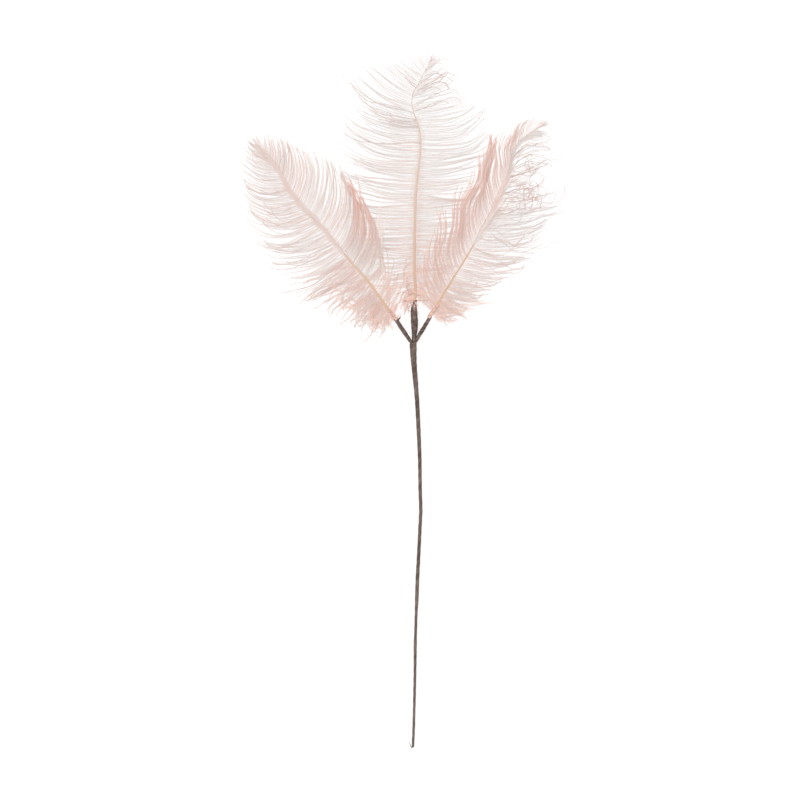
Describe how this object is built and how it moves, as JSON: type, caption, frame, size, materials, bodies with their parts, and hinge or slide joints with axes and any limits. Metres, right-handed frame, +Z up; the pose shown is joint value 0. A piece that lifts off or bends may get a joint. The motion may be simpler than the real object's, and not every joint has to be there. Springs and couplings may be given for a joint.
{
  "type": "ostrich feather spray on a taped wire stem",
  "caption": "Dyed ostrich plumes with loose curling barbs, bound with floral tape to the short branches of a long straight wire stem; lies flat as a decoration.",
  "frame": {"origin": "middle of the footprint, on the surface that the spray lies on", "axes": "+Y along the stem towards the feather tips, +X to the right seen from above with the feathers away, +Z up"},
  "size_m": [0.3522, 0.7536, 0.0654],
  "materials": {
    "floral_tape": "brown waxed crepe tape, matt with a slight sheen, wound in overlapping turns",
    "plume": "soft blush-pink dyed barbs, matt and translucent, deeper pink where they lie close"
  },
  "bodies": {
    "root": {"stem": "floral_tape", "fork_binding": "floral_tape", "centre_branch": "floral_tape", "left_branch": "floral_tape", "right_branch": "floral_tape", "tape_tail": "floral_tape", "left_feather": "plume", "centre_feather": "plume", "right_feather": "plume"}
  },
  "joints": []
}
